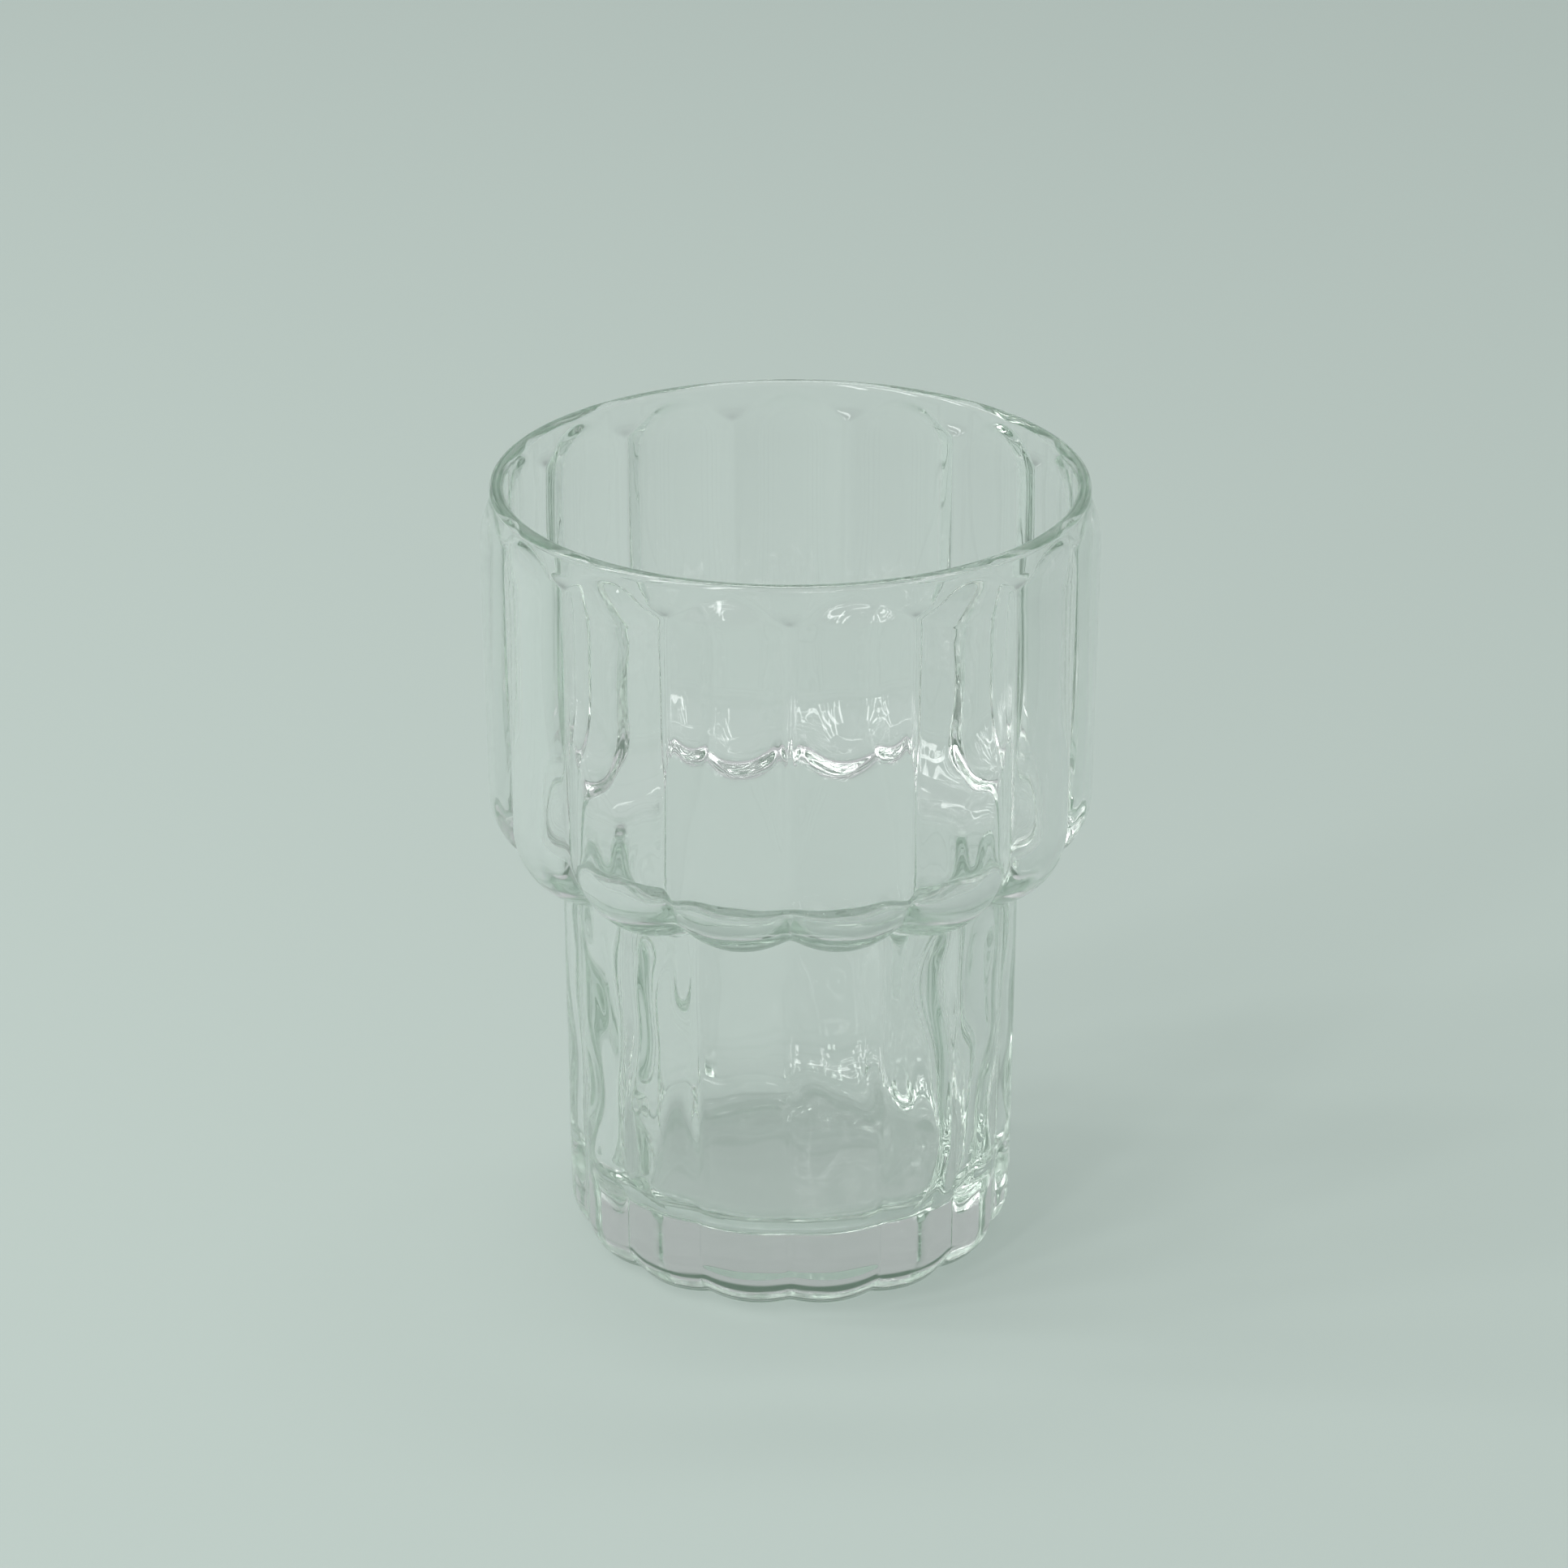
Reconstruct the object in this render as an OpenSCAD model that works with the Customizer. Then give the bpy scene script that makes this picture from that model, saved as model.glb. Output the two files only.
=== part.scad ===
// Stacking juice glass: one piece of clear soda-lime glass.
// The axis of the glass is Z, the flat foot stands on Z = 0, and a groove faces -Y.
// Every lobe is a round column with an upright axis of its own. The columns stand side by side
// in a ring, so where two of them cross they leave a sharp upright groove. Their rounded ends
// make the scalloped heel, the scalloped shoulder and the arched tops under the rim.

/* [Overall] */
// Height of the glass
glass_h = 113; // [104:0.5:122]
// Outer diameter of the plain round rim
rim_d = 82; // [80:0.25:83.5]
// Thickness of the glass at the rim
rim_wall = 2; // [1.6:0.1:2.4]
// Number of lobes around the glass
lobe_count = 15; // [14:1:17]

/* [Bowl] */
// Diameter over the lobe crests at the top of the bowl
bowl_top_d = 85; // [84.5:0.25:87]
// Diameter over the lobe crests just above the shoulder
bowl_low_d = 84; // [83:0.25:84.5]
// Depth of the outside grooves of the bowl, crest to bottom
bowl_groove = 2.6; // [2.2:0.1:3]
// Height at which the underside of the shoulder meets the lower body
shoulder_z = 57; // [51:0.25:62]
// Thickness of the glass at the crests of the bowl
bowl_wall = 2.8; // [2.4:0.1:3.2]
// Thickness of the glass of the shoulder's underside, at its lowest
shoulder_wall = 3.8; // [3.4:0.1:4.4]
// Radius of the corner inside the bowl
bowl_corner_r = 8; // [7:0.25:9]
// Depth of the soft ridges inside the bowl
ridge_depth = 1.1; // [0.7:0.1:1.5]

/* [Rim band] */
// Height of the plain band at the middle of each lobe
band_h = 1.9; // [1.6:0.1:2.8]
// Height of the plain band above each groove
band_low_h = 3.4; // [3.1:0.1:4.4]
// Radius of the underside of the band where a groove ends
band_r = 4; // [3.4:0.1:4.6]
// Radius at which the mouth blends into the lobed inside of the bowl
mouth_blend_r = 15; // [10:0.5:20]

/* [Lower body] */
// Diameter over the lobe crests at the top of the lower body
body_top_d = 64; // [63:0.25:65]
// Diameter over the lobe crests just above the heel
body_low_d = 62.8; // [61.5:0.25:63]
// Depth of the outside grooves of the lower body, crest to bottom
body_groove = 1.3; // [1:0.1:1.6]
// Thickness of the glass at the crests of the lower body
body_wall = 3.6; // [3:0.1:4.2]

/* [Base] */
// Height of the rounded heel
heel_h = 6.5; // [5.5:0.25:6.75]
// Radius of the rounded heel
heel_r = 7; // [7:0.25:8]
// Thickness of the floor
floor_t = 10; // [8.5:0.25:12]
// Radius of the corner between the floor and the wall
floor_r = 7; // [5.5:0.25:8]
// Radius of the rounded ledge inside, between the lower body and the bowl
ledge_r = 3; // [2.5:0.1:3.6]

/* [Hidden] */
$fn = 96;

half_pitch = 180 / lobe_count;
bead_r = rim_wall / 2;
rim_r = rim_d / 2;
mouth_r = rim_r - rim_wall;
bead_z = glass_h - bead_r;

// Overrun of the cuts
cut_over = rim_wall;

// Angles that the columns are swept through. The rest of each column would lie inside the core.
wide_turn = 200;
narrow_turn = 120;

// Distance from the glass's axis to the axes of a ring of columns whose crests lie at crest_r
// and whose crossings lie groove deeper
function ring_r(crest_r, groove) =
    let (cusp_r = crest_r - groove)
    (crest_r * crest_r - cusp_r * cusp_r) / (2 * (crest_r - cusp_r * cos(half_pitch)));

// Height that an arc of radius r climbs while it runs in by inset from its upright tangent
function arc_rise(r, inset) = sqrt(r * r - (r - inset) * (r - inset));

// Lower body: outside columns, and the plain inside. The columns end inside the shoulder, and
// a plain core fills the middle between them.
body_low_r = body_low_d / 2;
body_top_r = body_top_d / 2;
body_ring_r = ring_r(body_low_r, body_groove);
column_low_r = body_low_r - body_ring_r;
column_top_r = body_top_r - body_ring_r;
cavity_low_r = body_low_r - body_wall;
cavity_top_r = body_top_r - body_wall;
core_r = cavity_low_r - body_wall;

// Bowl: outside columns, which end in half balls. The lower half balls make the shoulder, and
// the upper ones run into the band at band_h below the rim.
bowl_ring_r = ring_r(bowl_low_d / 2, bowl_groove);
bowl_low_r = bowl_low_d / 2 - bowl_ring_r;
bowl_top_r = bowl_top_d / 2 - bowl_ring_r;
junction_x = body_top_r - bowl_ring_r;
bowl_low_z = shoulder_z + sqrt(bowl_low_r * bowl_low_r - junction_x * junction_x);
bowl_top_z = glass_h - band_h - arc_rise(bowl_top_r, bowl_top_d / 2 - rim_r);
bowl_cut_z = glass_h - (band_h + bead_r) / 2;
body_cut_z = (shoulder_z + bowl_low_z) / 2;
body_lean = (column_top_r - column_low_r) / (body_cut_z - heel_h);

// Inside of the bowl: a round hollow with rounded ends, trimmed to soft lobes that stand one
// wall inside the outside ones
lobed_crest_r = bowl_low_d / 2 - bowl_wall;
lobed_ring_r = ring_r(lobed_crest_r, ridge_depth);
hollow_r = lobed_crest_r + ridge_depth / 4;
hollow_low_z = shoulder_z + shoulder_wall + bowl_corner_r;
mouth_low_z = glass_h - 2 * band_low_h;
hollow_top_z = mouth_low_z - arc_rise(mouth_blend_r, hollow_r - mouth_r);

// Rounded ledge, which touches the corner arc of the bowl's inside
corner_x = hollow_r - bowl_corner_r;
ledge_x = cavity_top_r + ledge_r;
ledge_reach = bowl_corner_r + ledge_r;
ledge_z = hollow_low_z - sqrt(ledge_reach * ledge_reach - (ledge_x - corner_x) * (ledge_x - corner_x));
touch_share = ledge_r / ledge_reach;
touch_x = ledge_x + (corner_x - ledge_x) * touch_share;
touch_z = ledge_z + (hollow_low_z - ledge_z) * touch_share;

// Half outline of the rounded end of a column. The end stands on its full width, and its edge
// is rounded.
module rounded_end(width_r, round_r) {
    intersection() {
        translate([width_r - round_r, 0]) circle(round_r);
        translate([width_r - round_r, 0]) square(2 * round_r);
    }
    if (width_r > round_r) square([width_r - round_r, round_r]);
}

// Half outline of a column: a tapered wall from low_z to top_z, with a rounded lower end.
module column_outline(low_r, top_r, low_z, top_z, low_round) {
    polygon([[0, low_z], [low_r, low_z], [top_r, top_z], [0, top_z]]);
    translate([0, low_z]) mirror([0, 1]) rounded_end(low_r, low_round);
}

// One column per lobe, swept through turn about its own axis and facing outwards. A crossing of
// two columns lies at -Y. The children are the half outline of a column, kept between z = 0
// and top_z.
module column_ring(column_ring_r, turn, top_z) {
    for (i = [0 : lobe_count - 1])
        rotate((2 * i + 1) * half_pitch - 90)
            translate([column_ring_r, 0])
                rotate(-turn / 2)
                    rotate_extrude(angle = turn)
                        intersection() {
                            union() children();
                            square([rim_r, top_z]);
                        }
}

// Lobed outside of the bowl, with its domed shoulder and its arched lobe tops.
module bowl_outside() {
    column_ring(bowl_ring_r, wide_turn, bowl_cut_z) {
        column_outline(bowl_low_r, bowl_top_r, bowl_low_z, bowl_top_z, bowl_low_r);
        translate([0, bowl_top_z]) rounded_end(bowl_top_r, bowl_top_r);
    }
}

// Half outline of a column of the lower body: a leaning wall that runs into the rounded heel.
module body_column() {
    intersection() {
        polygon([[0, 0], [column_low_r - body_lean * heel_h, 0], [column_top_r, body_cut_z],
                 [0, body_cut_z]]);
        union() {
            square([column_low_r - heel_r, heel_h]);
            translate([column_low_r - heel_r, heel_h]) circle(heel_r);
            translate([0, heel_h]) square([rim_r, body_cut_z]);
        }
    }
}

// Lobed outside of the lower body, with its rounded heel and flat foot.
module body_outside() {
    column_ring(body_ring_r, narrow_turn, body_cut_z) body_column();
    cylinder(r = core_r, h = body_cut_z);
}

// Plain band of the rim. Its underside rounds inwards where the grooves end.
module rim_band() {
    band_low_z = glass_h - band_low_h;
    rotate_extrude() {
        translate([rim_r - band_r, band_low_z]) square([band_r, bead_z - band_low_z]);
        translate([0, band_low_z]) mirror([0, 1])
            intersection() {
                translate([rim_r - band_r, 0]) circle(band_r);
                translate([rim_r - band_r, 0]) square(2 * band_r);
            }
    }
}

// Round bead on top of the band.
module rim_bead() {
    rotate_extrude()
        intersection() {
            translate([rim_r - bead_r, bead_z]) circle(bead_r);
            translate([mouth_r - bead_r, bead_z]) square(2 * rim_wall);
        }
}

// Inside of the lower body: flat floor, rounded corner, tapered wall and rounded ledge.
module body_inside() {
    rotate_extrude() {
        translate([0, floor_t + floor_r]) mirror([0, 1]) rounded_end(cavity_low_r, floor_r);
        polygon([[0, floor_t + floor_r], [cavity_low_r, floor_t + floor_r],
                 [cavity_top_r, ledge_z], [0, ledge_z]]);
        difference() {
            translate([0, ledge_z]) square([touch_x, touch_z - ledge_z]);
            translate([ledge_x, ledge_z]) circle(ledge_r);
        }
        translate([0, touch_z]) square([touch_x, glass_h - touch_z]);
    }
}

// Inside of the bowl: softly lobed wall with a rounded corner below.
module bowl_inside() {
    intersection() {
        rotate_extrude() {
            column_outline(hollow_r, hollow_r, hollow_low_z, hollow_top_z, bowl_corner_r);
            translate([0, hollow_top_z]) rounded_end(hollow_r, mouth_blend_r);
        }
        linear_extrude(glass_h + mouth_blend_r) {
            circle(lobed_ring_r);
            for (i = [0 : lobe_count - 1])
                rotate((2 * i + 1) * half_pitch - 90)
                    translate([lobed_ring_r, 0]) circle(lobed_crest_r - lobed_ring_r);
        }
    }
}

// Round mouth of the rim. Its lower end blends into the lobed inside of the bowl.
module mouth_inside() {
    rotate_extrude() {
        translate([0, mouth_low_z]) square([mouth_r, glass_h + cut_over - mouth_low_z]);
        translate([0, mouth_low_z]) mirror([0, 1]) rounded_end(mouth_r, mouth_blend_r);
    }
}

// Whole outside, up to the middle of the rim's bead.
module outside() {
    bowl_outside();
    body_outside();
    rim_band();
}

// Whole inside, as one hollow that is open at the mouth.
module inside() {
    body_inside();
    bowl_inside();
    mouth_inside();
}

module glass_tumbler() {
    color("#cfded8", 0.35) {
        difference() {
            outside();
            inside();
        }
        rim_bead();
    }
}

glass_tumbler();
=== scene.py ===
import math

import bpy
import numpy as np
from mathutils import Euler, Matrix, Vector


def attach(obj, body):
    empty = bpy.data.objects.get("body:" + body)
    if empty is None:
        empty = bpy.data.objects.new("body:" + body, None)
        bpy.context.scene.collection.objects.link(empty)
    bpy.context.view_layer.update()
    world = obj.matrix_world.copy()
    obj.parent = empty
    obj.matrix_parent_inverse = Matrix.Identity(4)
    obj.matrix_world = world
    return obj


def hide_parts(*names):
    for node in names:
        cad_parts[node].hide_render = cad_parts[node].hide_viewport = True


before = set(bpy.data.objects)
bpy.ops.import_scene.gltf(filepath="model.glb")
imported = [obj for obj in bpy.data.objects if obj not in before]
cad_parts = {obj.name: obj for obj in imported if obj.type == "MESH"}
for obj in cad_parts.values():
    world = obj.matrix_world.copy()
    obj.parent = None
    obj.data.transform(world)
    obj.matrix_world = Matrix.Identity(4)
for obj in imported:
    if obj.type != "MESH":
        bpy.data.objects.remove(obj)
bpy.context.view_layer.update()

# Units: sizes of the glass are in millimetres, and everything in Blender is in metres
MM = 0.001
NODE = "glass_tumbler"

# Overall sizes
GLASS_H = 113.0
RIM_R = 41.0
RIM_WALL = 2.0
LOBES = 15
HALF_PITCH = math.pi / LOBES

# Bowl, outside: columns that end in half balls
BOWL_TOP_R = 42.5
BOWL_LOW_R = 42.0
BOWL_GROOVE = 2.6
SHOULDER_Z = 57.0

# Rim band
BAND_H = 1.9
BAND_LOW_H = 3.4
BAND_R = 4.0
BAND_BLEND = 0.3

# Lower body, outside
BODY_TOP_R = 32.0
BODY_LOW_R = 31.4
BODY_GROOVE = 1.3
HEEL_H = 6.5
HEEL_R = 7.0
JUNCTION_FILLET = 0.7

# Inside
BOWL_WALL = 2.8
RIDGE_DEPTH = 1.1
SHOULDER_WALL = 3.8
BOWL_CORNER_R = 8.0
LEDGE_R = 3.0
BODY_WALL = 3.6
FLOOR_T = 10.0
FLOOR_R = 7.0

# Softness of the moulded edges: how far from a groove's bottom its sides are rounded, in radians
BOWL_CUSP_SOFT = 0.018
BODY_CUSP_SOFT = 0.024
RIDGE_SHARPNESS = 1.4

# Uneven thickness of the pressed glass
RIPPLE_OUT = 0.02
RIPPLE_IN = 0.07
CAVITY_WAVES = 1.9
RIPPLE_FLOOR = 0.07
RIPPLE_FOOT = 0.015

# Slow waves of the wall: how many go round, drift with the height, share of the phase, weight
RIPPLE_WAVES = ((7, 0.05, 1.0, 1.0), (16, -0.03, 2.1, 1.0),
                (31, 0.07, 3.7, 0.8), (3, 0.19, 1.0, 0.5))
PHASE_OUT = 0.4
PHASE_IN = 1.9

# Heights between which the soft ridges inside the bowl grow to their full depth
RIDGE_TOP_Z = 98.0
RIDGE_FULL_Z = 66.0

# Share of a ridge that is left where it ends on the shoulder's floor
RIDGE_END_SHARE = 0.5

# Where the round mouth starts to turn into the ridged wall, and where it has done so
FADE_TOP_Z = GLASS_H - 1.2 * BAND_LOW_H
FADE_LOW_Z = GLASS_H - 4 * BAND_LOW_H

# Mesh density: points round each lobe, and rings of points in each zone
LOBE_STEPS = 44
LOBE_CROWDING = 0.75
FOOT_ROWS = 40
HEEL_ROWS = 26
WALL_ROWS = 40
FILLET_ROWS = 9
DOME_ROWS = 64
BEAD_ROWS = 25
MOUTH_ROWS = 10
FADE_ROWS = 22
BOWL_ROWS = 34
LEDGE_ROWS = 16
CAVITY_ROWS = 48
FLOOR_CORNER_ROWS = 26
FLOOR_ROWS = 30
# The innermost ring of the foot and of the floor, as a share of the whole radius
CENTRE_SHARE = 0.02


# Form of the glass

def ring_r(crest_r, groove):
    """Distance of the columns' axes from the glass's axis."""
    cusp_r = crest_r - groove
    return (crest_r ** 2 - cusp_r ** 2) / (2 * (crest_r - cusp_r * math.cos(HALF_PITCH)))


def arc_rise(r, inset):
    """Height that an arc of radius r climbs while it comes in by inset."""
    return math.sqrt(r * r - (r - inset) ** 2)


def smooth(share):
    """Share between 0 and 1, with a level start and a level end."""
    return share * share * (3 - 2 * share)


BOWL_RING_R = ring_r(BOWL_LOW_R, BOWL_GROOVE)
BOWL_LOW_COLUMN = BOWL_LOW_R - BOWL_RING_R
BOWL_TOP_COLUMN = BOWL_TOP_R - BOWL_RING_R
BODY_RING_R = ring_r(BODY_LOW_R, BODY_GROOVE)
BODY_LOW_COLUMN = BODY_LOW_R - BODY_RING_R
BODY_TOP_COLUMN = BODY_TOP_R - BODY_RING_R
BOWL_LOW_Z = SHOULDER_Z + math.sqrt(BOWL_LOW_COLUMN ** 2 - (BODY_TOP_R - BOWL_RING_R) ** 2)
BOWL_TOP_Z = GLASS_H - BAND_H - arc_rise(BOWL_TOP_COLUMN, BOWL_TOP_R - RIM_R)
BODY_CUT_Z = (SHOULDER_Z + BOWL_LOW_Z) / 2
BEAD_R = RIM_WALL / 2
MOUTH_R = RIM_R - RIM_WALL


def lobe_angles():
    """Angles round the glass, closer together at the grooves, and each one's from its crest."""
    even = np.linspace(-1, 1, LOBE_STEPS, endpoint=False)
    crowded = np.sin(even * math.pi / 2)
    local = (LOBE_CROWDING * crowded + (1 - LOBE_CROWDING) * even) * HALF_PITCH
    centres = (2 * np.arange(LOBES) + 1) * HALF_PITCH
    return (centres[:, None] + local[None, :]).ravel(), np.tile(local, LOBES)


THETA, PSI = lobe_angles()


def soft_angle(softness):
    """Angle from the crest, held back near the grooves so that their bottoms are round."""
    return HALF_PITCH - np.sqrt((HALF_PITCH - np.abs(PSI)) ** 2 + softness ** 2)


BOWL_PSI = soft_angle(BOWL_CUSP_SOFT)
BODY_PSI = soft_angle(BODY_CUSP_SOFT)
RIDGE = ((1 - np.cos(math.pi * PSI / HALF_PITCH)) / 2) ** RIDGE_SHARPNESS


def lobed(column_r, column_ring_r, psi):
    """Radius of a ring of columns of radius column_r, seen from the glass's axis."""
    inside = np.maximum(column_r ** 2 - (column_ring_r * np.sin(psi)) ** 2, 0)
    return column_ring_r * np.cos(psi) + np.sqrt(inside)


def body_radius(z):
    """Radius of the lower body's wall, which leans out a little towards the shoulder."""
    share = (z - HEEL_H) / (BODY_CUT_Z - HEEL_H)
    column = BODY_LOW_COLUMN + (BODY_TOP_COLUMN - BODY_LOW_COLUMN) * share
    return lobed(column, BODY_RING_R, BODY_PSI)


def ripple(z, amount, phase):
    """Slow unevenness of the wall, always inwards."""
    wave = sum(weight * np.sin(count * THETA + drift * z + shift * phase)
               for count, drift, shift, weight in RIPPLE_WAVES)
    total = sum(weight for _, _, _, weight in RIPPLE_WAVES)
    return amount * (wave / total - 1) / 2


def streaks(z, amount):
    """Upright waves of the lower body's inside wall. They are weaker at the front and the back."""
    t = THETA
    sway = 0.9 * np.sin(0.13 * z + 2.0 * np.sin(3 * t)) + 0.35 * np.sin(0.37 * z + 4 * t)
    ridge = ((1 + np.cos(LOBES * t + sway)) / 2) ** 1.5
    fine = (1 + np.sin(23 * t + 0.9 * np.sin(0.17 * z) + 1.1)) / 2
    return -amount * (0.2 + 0.8 * np.sin(t) ** 2) * (0.75 * ridge + 0.25 * fine)


def swell(radius):
    """Gentle unevenness of a level face, between 0 and 1."""
    across = radius * np.sin(THETA)
    deep = radius * np.cos(THETA)
    wave = (np.sin(0.9 * deep + 0.6 * np.sin(0.5 * across))
            + 0.6 * np.sin(0.8 * across + 0.4 * deep)
            + 0.5 * np.sin(1.7 * deep - 0.6 * across))
    return (wave / 2.1 + 1) / 2


def outside_rows():
    """Rings of the outside, from the middle of the foot up to the rim's bead."""
    rows = []
    zero = np.zeros_like(THETA)

    def add(radius, z, uneven=0.0):
        z = z + zero
        rows.append((radius + ripple(z, uneven, PHASE_OUT), z))

    # Foot
    heel_start = math.asin(HEEL_H / HEEL_R)
    heel_major = BODY_LOW_COLUMN - HEEL_R
    foot = lobed(heel_major + HEEL_R * math.cos(heel_start), BODY_RING_R, BODY_PSI)
    foot_crest = foot.max()
    for share in np.linspace(CENTRE_SHARE, 1, FOOT_ROWS, endpoint=False):
        radius = foot_crest * share - (foot_crest - foot) * share ** 6
        add(radius, RIPPLE_FOOT * (1 - share ** 12) * swell(radius))
    # Heel
    for angle in np.linspace(heel_start, 0, HEEL_ROWS, endpoint=False):
        column = heel_major + HEEL_R * math.cos(angle)
        add(lobed(column, BODY_RING_R, BODY_PSI), HEEL_H - HEEL_R * math.sin(angle))
    # Corner under the shoulder, where the wall meets the half balls
    wall = body_radius(SHOULDER_Z)
    reach = np.sqrt(wall ** 2 + BOWL_RING_R ** 2 - 2 * wall * BOWL_RING_R * np.cos(BOWL_PSI))
    corner_angle = np.arccos(reach / BOWL_LOW_COLUMN)
    corner_z = BOWL_LOW_Z - BOWL_LOW_COLUMN * np.sin(corner_angle)
    start_z = corner_z - JUNCTION_FILLET
    ball_angle = corner_angle - JUNCTION_FILLET / BOWL_LOW_COLUMN
    ball_r = lobed(BOWL_LOW_COLUMN * np.cos(ball_angle), BOWL_RING_R, BOWL_PSI)
    ball_z = BOWL_LOW_Z - BOWL_LOW_COLUMN * np.sin(ball_angle)
    # Lower wall
    for share in np.linspace(0, 1, WALL_ROWS, endpoint=False):
        z = HEEL_H + (start_z - HEEL_H) * share
        add(body_radius(z), z, RIPPLE_OUT)
    wall_start = body_radius(start_z)
    for share in np.linspace(0, 1, FILLET_ROWS, endpoint=False):
        back = 1 - share
        radius = wall_start * back ** 2 + 2 * wall * back * share + ball_r * share ** 2
        z = start_z * back ** 2 + 2 * corner_z * back * share + ball_z * share ** 2
        add(radius, z, RIPPLE_OUT)
    # Half balls of the shoulder
    for share in np.linspace(0, 1, WALL_ROWS, endpoint=False):
        angle = ball_angle * (1 - share)
        column = BOWL_LOW_COLUMN * np.cos(angle)
        z = BOWL_LOW_Z - BOWL_LOW_COLUMN * np.sin(angle)
        add(lobed(column, BOWL_RING_R, BOWL_PSI), z, RIPPLE_OUT)
    # Wall of the bowl
    for share in np.linspace(0, 1, WALL_ROWS, endpoint=False):
        column = BOWL_LOW_COLUMN + (BOWL_TOP_COLUMN - BOWL_LOW_COLUMN) * share
        z = BOWL_LOW_Z + (BOWL_TOP_Z - BOWL_LOW_Z) * share
        add(lobed(column, BOWL_RING_R, BOWL_PSI), z, RIPPLE_OUT)
    # Domed lobe tops and the band, whichever stands out further, with a soft edge between them
    band_low_z = GLASS_H - BAND_LOW_H
    bead_z = GLASS_H - BEAD_R
    for z in np.linspace(BOWL_TOP_Z, bead_z, DOME_ROWS, endpoint=False):
        column = math.sqrt(max(BOWL_TOP_COLUMN ** 2 - (z - BOWL_TOP_Z) ** 2, 0))
        dome = lobed(column, BOWL_RING_R, BOWL_PSI)
        drop = max(band_low_z - z, 0)
        band = RIM_R - BAND_R + math.sqrt(BAND_R ** 2 - drop ** 2) if drop < BAND_R else 0
        gap = dome - band
        add((dome + band + np.sqrt(gap ** 2 + BAND_BLEND ** 2)) / 2 - BAND_BLEND / 4, z)
    # Bead
    for angle in np.linspace(0, math.pi, BEAD_ROWS):
        add(RIM_R - BEAD_R + BEAD_R * math.cos(angle), bead_z + BEAD_R * math.sin(angle))
    return rows


def inside_rows():
    """Rings of the inside, from just under the bead down to the middle of the floor."""
    rows = []
    zero = np.zeros_like(THETA)

    def add(radius, z, ridge=0.0, lift=0.0, uneven=0.0, waves=0.0):
        z = z + lift * RIDGE + zero
        uneven_r = ripple(z, uneven, PHASE_IN) + streaks(z, waves)
        rows.append((radius - ridge * RIDGE + uneven_r, z))

    def ridge_at(z):
        """Depth of the bowl's ridges, which differs a little round the glass."""
        share = min(max((RIDGE_TOP_Z - z) / (RIDGE_TOP_Z - RIDGE_FULL_Z), 0), 1)
        uneven = 0.72 + 0.28 * np.sin(3 * THETA + 0.7 + 0.06 * z)
        return RIDGE_DEPTH * smooth(share) * (share + (1 - share) * uneven)

    crest_r = BOWL_LOW_R - BOWL_WALL
    corner_x = crest_r - BOWL_CORNER_R
    corner_z = SHOULDER_Z + SHOULDER_WALL + BOWL_CORNER_R
    cavity_top_r = BODY_TOP_R - BODY_WALL
    cavity_low_r = BODY_LOW_R - BODY_WALL
    ledge_x = cavity_top_r + LEDGE_R
    reach = BOWL_CORNER_R + LEDGE_R
    ledge_z = corner_z - math.sqrt(reach ** 2 - (ledge_x - corner_x) ** 2)
    mouth_z = GLASS_H - BEAD_R
    # Mouth, and the fade into the lobed wall
    for share in np.linspace(0, 1, MOUTH_ROWS)[1:]:
        add(MOUTH_R, mouth_z + (FADE_TOP_Z - mouth_z) * share)
    for share in np.linspace(0, 1, FADE_ROWS)[1:]:
        ease = smooth(share)
        z = FADE_TOP_Z + (FADE_LOW_Z - FADE_TOP_Z) * share
        add(MOUTH_R + (crest_r - MOUTH_R) * ease, z, ridge=ridge_at(z), uneven=RIPPLE_IN * ease)
    for share in np.linspace(0, 1, BOWL_ROWS)[1:]:
        z = FADE_LOW_Z + (corner_z - FADE_LOW_Z) * share
        add(crest_r, z, ridge=ridge_at(z), uneven=RIPPLE_IN)
    # Corner, where the ridges turn up from the wall onto the shoulder's floor
    end_angle = math.atan2(corner_z - ledge_z, ledge_x - corner_x)
    for share in np.linspace(0, 1, BOWL_ROWS)[1:]:
        angle = end_angle * share
        depth = RIDGE_DEPTH * (1 - (1 - RIDGE_END_SHARE) * share ** 2)
        add(corner_x + BOWL_CORNER_R * math.cos(angle),
            corner_z - BOWL_CORNER_R * math.sin(angle),
            ridge=depth * math.cos(angle), lift=depth * math.sin(angle), uneven=RIPPLE_IN)
    # Ledge
    for share in np.linspace(0, 1, LEDGE_ROWS)[1:]:
        angle = math.pi - end_angle + end_angle * share
        add(ledge_x + LEDGE_R * math.cos(angle), ledge_z + LEDGE_R * math.sin(angle),
            lift=RIDGE_DEPTH * RIDGE_END_SHARE * (1 - share), uneven=RIPPLE_IN)
    # Lower body's inside
    floor_corner_z = FLOOR_T + FLOOR_R
    for share in np.linspace(0, 1, CAVITY_ROWS)[1:]:
        add(cavity_top_r + (cavity_low_r - cavity_top_r) * share,
            ledge_z + (floor_corner_z - ledge_z) * share,
            uneven=RIPPLE_IN, waves=CAVITY_WAVES * min(6 * share, 1))
    # Floor corner and floor
    for angle in np.linspace(0, math.pi / 2, FLOOR_CORNER_ROWS)[1:]:
        add(cavity_low_r - FLOOR_R + FLOOR_R * math.cos(angle),
            floor_corner_z - FLOOR_R * math.sin(angle), waves=CAVITY_WAVES * math.cos(angle))
    for share in np.linspace(1, CENTRE_SHARE, FLOOR_ROWS)[1:]:
        radius = (cavity_low_r - FLOOR_R) * share
        add(radius, FLOOR_T + RIPPLE_FLOOR * (1 - share ** 8) * swell(radius))
    return rows


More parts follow.
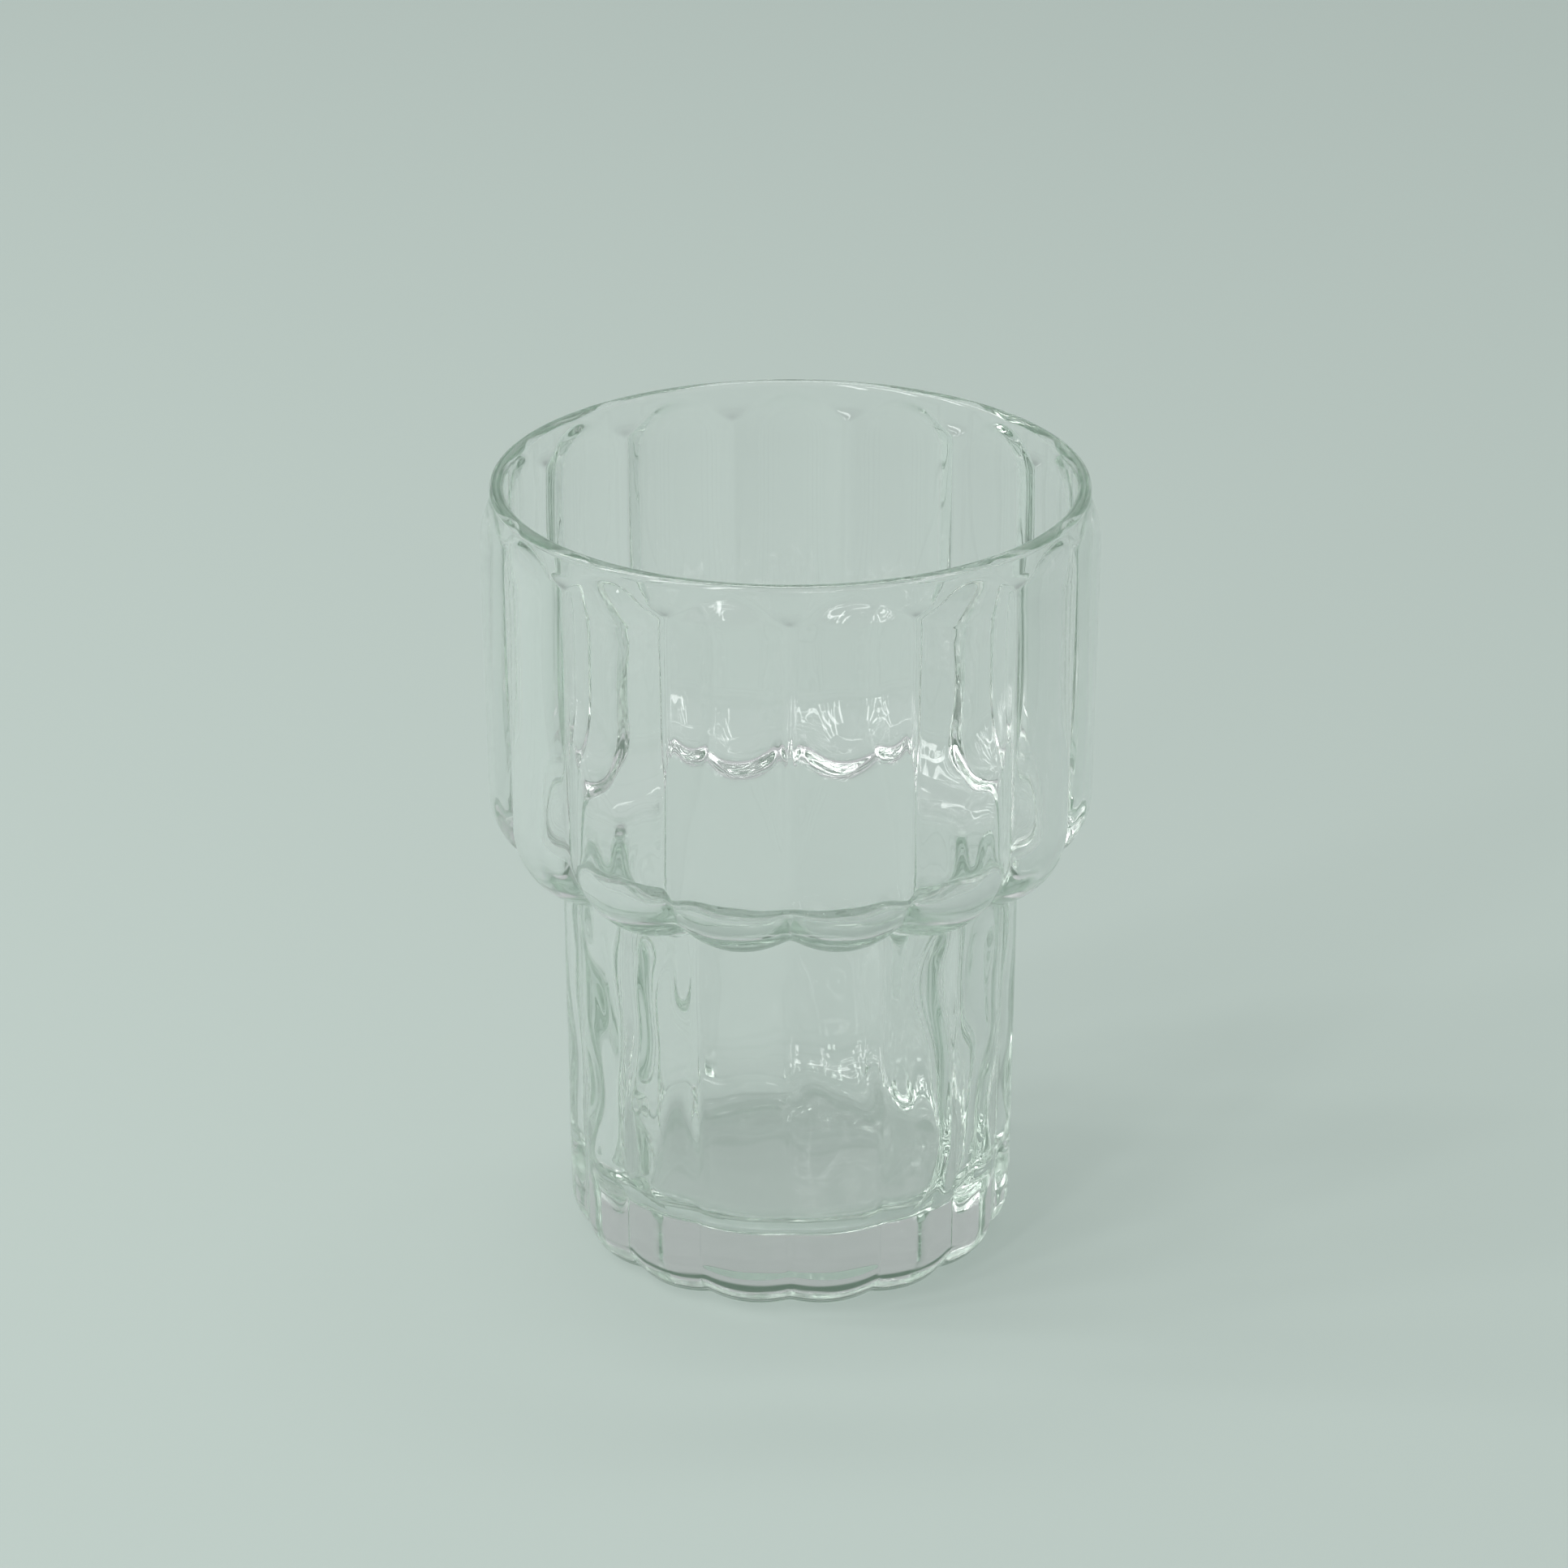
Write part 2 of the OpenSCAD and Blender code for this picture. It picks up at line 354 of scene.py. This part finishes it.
def mesh_object(name, points, faces, material):
    """Smooth-shaded object from points in metres."""
    mesh = bpy.data.meshes.new(name)
    mesh.from_pydata(points, [], faces)
    mesh.update()
    mesh.polygons.foreach_set("use_smooth", [True] * len(mesh.polygons))
    mesh.materials.append(material)
    piece = bpy.data.objects.new(name, mesh)
    bpy.context.scene.collection.objects.link(piece)
    return piece


def glass_mesh(name, material):
    """Closed skin of the glass: rings joined by four-sided faces, with a fan at each end."""
    rows = outside_rows() + inside_rows()
    count = len(THETA)
    rings = [np.stack([r * np.sin(THETA), -r * np.cos(THETA), z], 1) for r, z in rows]
    ends = np.array([[0, 0, rows[0][1][0]], [0, 0, rows[-1][1][0]]])
    points = np.concatenate(rings + [ends]) * MM
    here = np.arange(count)
    after = (here + 1) % count
    faces = []
    for ring in range(len(rows) - 1):
        low = ring * count
        high = low + count
        faces += np.stack([low + here, low + after, high + after, high + here], 1).tolist()
    last = (len(rows) - 1) * count
    centre = len(points) - 2
    faces += np.stack([after, here, np.full(count, centre)], 1).tolist()
    faces += np.stack([last + here, last + after, np.full(count, centre + 1)], 1).tolist()
    return mesh_object(name, points.tolist(), faces, material)


# Colours and materials

def linear(red, green, blue):
    """An 8-bit screen colour as the linear colour that Blender takes."""
    def channel(value):
        value /= 255
        return value / 12.92 if value <= 0.04045 else ((value + 0.055) / 1.055) ** 2.4
    return (channel(red), channel(green), channel(blue), 1.0)


TABLE_COLOUR = linear(187, 200, 193)
GLASS_IOR = 1.52
GLASS_TINT = (0.52, 0.66, 0.56, 1.0)
GLASS_TINT_DENSITY = 10.0
SHADE_FACING = (1.0, 1.0, 1.0, 1.0)
SHADE_EDGE = (0.60, 0.61, 0.605, 1.0)
GLOW_THROUGH = (0.995, 0.995, 0.995, 1.0)
WHITE = (1.0, 1.0, 1.0, 1.0)

# Sockets of a Mix node that mixes colours
MIX_A = 6
MIX_B = 7
MIX_RESULT = 2


def new_material(name):
    """Material with an empty node tree."""
    material = bpy.data.materials.new(name)
    material.use_nodes = True
    tree = material.node_tree
    tree.nodes.clear()
    return material, tree.nodes, tree.links


def glass_material():
    """Clear glass, faintly green where it is thick. Its shadow is light, as that of real glass."""
    material, nodes, links = new_material("clear_glass")
    output = nodes.new("ShaderNodeOutputMaterial")
    shader = nodes.new("ShaderNodeBsdfPrincipled")
    shader.inputs["Base Color"].default_value = WHITE
    shader.inputs["Transmission Weight"].default_value = 1.0
    shader.inputs["Roughness"].default_value = 0.0
    shader.inputs["IOR"].default_value = GLASS_IOR
    tint = nodes.new("ShaderNodeVolumeAbsorption")
    tint.inputs["Color"].default_value = GLASS_TINT
    tint.inputs["Density"].default_value = GLASS_TINT_DENSITY
    # Light that reaches the table through the glass: dimmer where it meets the glass edge on
    rays = nodes.new("ShaderNodeLightPath")
    edge = nodes.new("ShaderNodeLayerWeight")
    edge.inputs["Blend"].default_value = 0.5
    shade = nodes.new("ShaderNodeMix")
    shade.data_type = "RGBA"
    shade.inputs[MIX_A].default_value = SHADE_FACING
    shade.inputs[MIX_B].default_value = SHADE_EDGE
    links.new(edge.outputs["Facing"], shade.inputs[0])
    shadow = nodes.new("ShaderNodeBsdfTransparent")
    links.new(shade.outputs[MIX_RESULT], shadow.inputs["Color"])
    glow = nodes.new("ShaderNodeBsdfTransparent")
    glow.inputs["Color"].default_value = GLOW_THROUGH
    # Table light passes straight through too, so that the table under the glass is lit
    by_glow = nodes.new("ShaderNodeMixShader")
    by_shadow = nodes.new("ShaderNodeMixShader")
    links.new(rays.outputs["Is Diffuse Ray"], by_glow.inputs[0])
    links.new(shader.outputs[0], by_glow.inputs[1])
    links.new(glow.outputs[0], by_glow.inputs[2])
    links.new(rays.outputs["Is Shadow Ray"], by_shadow.inputs[0])
    links.new(by_glow.outputs[0], by_shadow.inputs[1])
    links.new(shadow.outputs[0], by_shadow.inputs[2])
    links.new(by_shadow.outputs[0], output.inputs["Surface"])
    links.new(tint.outputs[0], output.inputs["Volume"])
    return material


def table_material():
    material, nodes, links = new_material("pale_table")
    output = nodes.new("ShaderNodeOutputMaterial")
    shader = nodes.new("ShaderNodeBsdfDiffuse")
    shader.inputs["Color"].default_value = TABLE_COLOUR
    links.new(shader.outputs[0], output.inputs["Surface"])
    return material


# Floor, camera and lights

FLOOR_HALF = 3.0
# The foot stands this far clear of the table, so that there is air under the glass
FLOOR_GAP = 0.0001
PHOTO_SIZE = 1932
SENSOR_MM = 36.0
FOCAL_PX = 6872.0
TARGET_PX = (973.84, 1026.73)
TARGET_Z = 0.060
CAMERA_DISTANCE = 0.780
CAMERA_ELEVATION = math.radians(24.04)
CLIP_END = 50.0


def make_floor():
    corners = [(FLOOR_HALF * x, FLOOR_HALF * y, -FLOOR_GAP)
               for x, y in ((-1, -1), (1, -1), (1, 1), (-1, 1))]
    floor = mesh_object("table_top", corners, [(0, 1, 2, 3)], table_material())


def make_camera():
    """The photograph's view: the point TARGET_Z above the foot's middle lands at TARGET_PX."""
    target = Vector((0, 0, TARGET_Z))
    back = Vector((0, -math.cos(CAMERA_ELEVATION), math.sin(CAMERA_ELEVATION)))
    place = target + CAMERA_DISTANCE * back
    right = math.atan((TARGET_PX[0] - PHOTO_SIZE / 2) / FOCAL_PX)
    down = math.atan((TARGET_PX[1] - PHOTO_SIZE / 2) / FOCAL_PX)
    straight = (target - place).to_track_quat("-Z", "Y").to_matrix()
    aim = straight @ Euler((down, right, 0), "XYZ").to_matrix()
    data = bpy.data.cameras.new("camera")
    data.sensor_width = SENSOR_MM
    data.lens = SENSOR_MM * FOCAL_PX / PHOTO_SIZE
    data.clip_end = CLIP_END
    camera = bpy.data.objects.new("camera", data)
    bpy.context.scene.collection.objects.link(camera)
    camera.matrix_world = Matrix.Translation(place) @ aim.to_4x4()
    bpy.context.scene.camera = camera


def area_light(name, place, width, height, power):
    """Rectangular lamp that faces the middle of the glass."""
    data = bpy.data.lights.new(name, "AREA")
    data.shape = "RECTANGLE"
    data.size = width
    data.size_y = height
    data.energy = power
    light = bpy.data.objects.new(name, data)
    bpy.context.scene.collection.objects.link(light)
    light.location = place
    towards = Vector((0, 0, TARGET_Z)) - Vector(place)
    light.rotation_euler = towards.to_track_quat("-Z", "Y").to_euler()


# Window panes: how far round from the camera to its left they stand, in degrees
PANE_AZIMUTHS = (30, 52, 74, 96)
PANE_REACH = 1.25
PANE_Z = 1.15
PANE_W = 0.13
PANE_H = 1.5
PANE_POWER = 4.6
CEILING_PLACE = (0.0, 0.5, 1.8)
CEILING_W = 1.2
CEILING_H = 0.2
CEILING_POWER = 5.0

# Light of the room: how high it lies (0 level, 1 straight above), and its colour there
ROOM_LIGHT = ((0.00, (0.50, 0.53, 0.53, 1.0)), (0.13, (0.50, 0.53, 0.53, 1.0)),
              (0.17, (0.14, 0.20, 0.16, 1.0)), (0.325, (0.14, 0.20, 0.16, 1.0)),
              (0.36, (0.52, 0.53, 0.54, 1.0)), (1.00, (0.56, 0.56, 0.58, 1.0)))


def make_lights():
    for number, azimuth in enumerate(PANE_AZIMUTHS):
        turn = math.radians(azimuth)
        place = (-PANE_REACH * math.sin(turn), -PANE_REACH * math.cos(turn), PANE_Z)
        area_light("window_pane_%d" % number, place, PANE_W, PANE_H, PANE_POWER)
    area_light("ceiling_strip", CEILING_PLACE, CEILING_W, CEILING_H, CEILING_POWER)


def make_room():
    """World: pale low down, as a backdrop is, darker above it, and pale again overhead."""
    world = bpy.data.worlds.new("room")
    bpy.context.scene.world = world
    world.use_nodes = True
    nodes = world.node_tree.nodes
    links = world.node_tree.links
    background = nodes["Background"]
    way = nodes.new("ShaderNodeTexCoord")
    split = nodes.new("ShaderNodeSeparateXYZ")
    ramp = nodes.new("ShaderNodeValToRGB")
    stops = ramp.color_ramp.elements
    while len(stops) < len(ROOM_LIGHT):
        stops.new(0.5)
    for stop, (height, colour) in zip(stops, ROOM_LIGHT):
        stop.position = height
        stop.color = colour
    links.new(way.outputs["Generated"], split.inputs[0])
    links.new(split.outputs["Z"], ramp.inputs[0])
    # The camera itself sees a plain backdrop in the colour of the table
    rays = nodes.new("ShaderNodeLightPath")
    seen = nodes.new("ShaderNodeMix")
    seen.data_type = "RGBA"
    seen.inputs[MIX_B].default_value = TABLE_COLOUR
    links.new(rays.outputs["Is Camera Ray"], seen.inputs[0])
    links.new(ramp.outputs["Color"], seen.inputs[MIX_A])
    links.new(seen.outputs[MIX_RESULT], background.inputs["Color"])
    background.inputs["Strength"].default_value = 1.0


# Long paths, because light crosses many walls of glass before it leaves
GLASS_BOUNCES = 48
TRANSPARENT_BOUNCES = 24


def set_light_paths():
    cycles = bpy.context.scene.cycles
    cycles.max_bounces = GLASS_BOUNCES
    cycles.transmission_bounces = GLASS_BOUNCES
    cycles.glossy_bounces = GLASS_BOUNCES
    cycles.transparent_max_bounces = TRANSPARENT_BOUNCES
    cycles.caustics_refractive = False
    cycles.caustics_reflective = False


make_camera()
make_floor()
make_lights()
make_room()
set_light_paths()
bpy.context.scene.view_settings.view_transform = "Standard"

glass = glass_mesh("tumbler", glass_material())
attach(glass, "root")
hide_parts(NODE)
